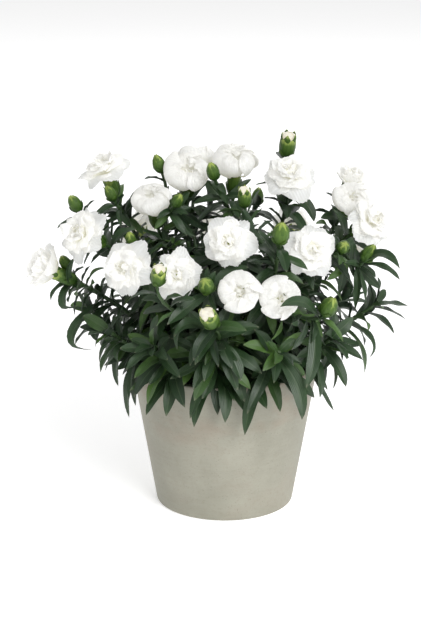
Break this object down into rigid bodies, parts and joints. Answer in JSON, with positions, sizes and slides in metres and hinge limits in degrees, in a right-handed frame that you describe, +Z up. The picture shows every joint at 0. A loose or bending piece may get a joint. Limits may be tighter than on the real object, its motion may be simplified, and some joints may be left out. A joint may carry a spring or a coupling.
{
  "type": "potted flowering plant",
  "caption": "Bushy potted carnation: leafy branching stems with double white flowers and buds, growing in compost in a plain tapered round ceramic pot.",
  "frame": {"origin": "middle of the pot's flat underside", "axes": "+Z up along the pot's axis; -Y is the side seen from the front, +X is to its right"},
  "size_m": [0.2886, 0.2455, 0.2846],
  "materials": {
    "pot_ceramic": "matte",
    "compost_peat": "matte",
    "leaf_green": "satin",
    "petal_white": "matte"
  },
  "bodies": {
    "root": {"pot": "pot_ceramic", "compost": "compost_peat", "spray_01": "leaf_green", "spray_02": "leaf_green", "spray_03": "leaf_green", "spray_04": "leaf_green", "spray_05": "leaf_green", "spray_06": "leaf_green", "spray_07": "leaf_green", "spray_08": "leaf_green", "spray_09": "leaf_green", "spray_10": "leaf_green", "spray_11": "leaf_green", "spray_12": "leaf_green", "spray_13": "leaf_green", "spray_14": "leaf_green", "spray_15": "leaf_green", "spray_16": "leaf_green", "spray_17": "leaf_green", "spray_18": "leaf_green", "spray_19": "leaf_green", "spray_20": "leaf_green", "spray_21": "leaf_green", "shoot_01": "leaf_green", "shoot_02": "leaf_green", "shoot_03": "leaf_green", "shoot_04": "leaf_green", "shoot_05": "leaf_green", "shoot_06": "leaf_green", "shoot_07": "leaf_green", "shoot_08": "leaf_green", "shoot_09": "leaf_green", "shoot_10": "leaf_green", "shoot_11": "leaf_green", "shoot_12": "leaf_green", "bloom_01": "petal_white", "bloom_02": "petal_white", "bloom_03": "petal_white", "bloom_04": "petal_white", "bloom_05": "petal_white", "bloom_06": "petal_white", "bloom_07": "petal_white", "bloom_08": "petal_white", "bloom_09": "petal_white", "bloom_10": "petal_white", "bloom_11": "petal_white", "bloom_12": "petal_white", "bloom_13": "petal_white", "bloom_14": "petal_white", "bloom_15": "petal_white", "bloom_16": "petal_white", "bloom_17": "petal_white", "bloom_18": "petal_white", "bloom_19": "petal_white", "bloom_20": "petal_white", "bloom_21": "petal_white", "bud_petals_1": "petal_white", "bud_petals_2": "petal_white", "bud_petals_3": "petal_white", "bud_petals_4": "petal_white"}
  },
  "joints": []
}
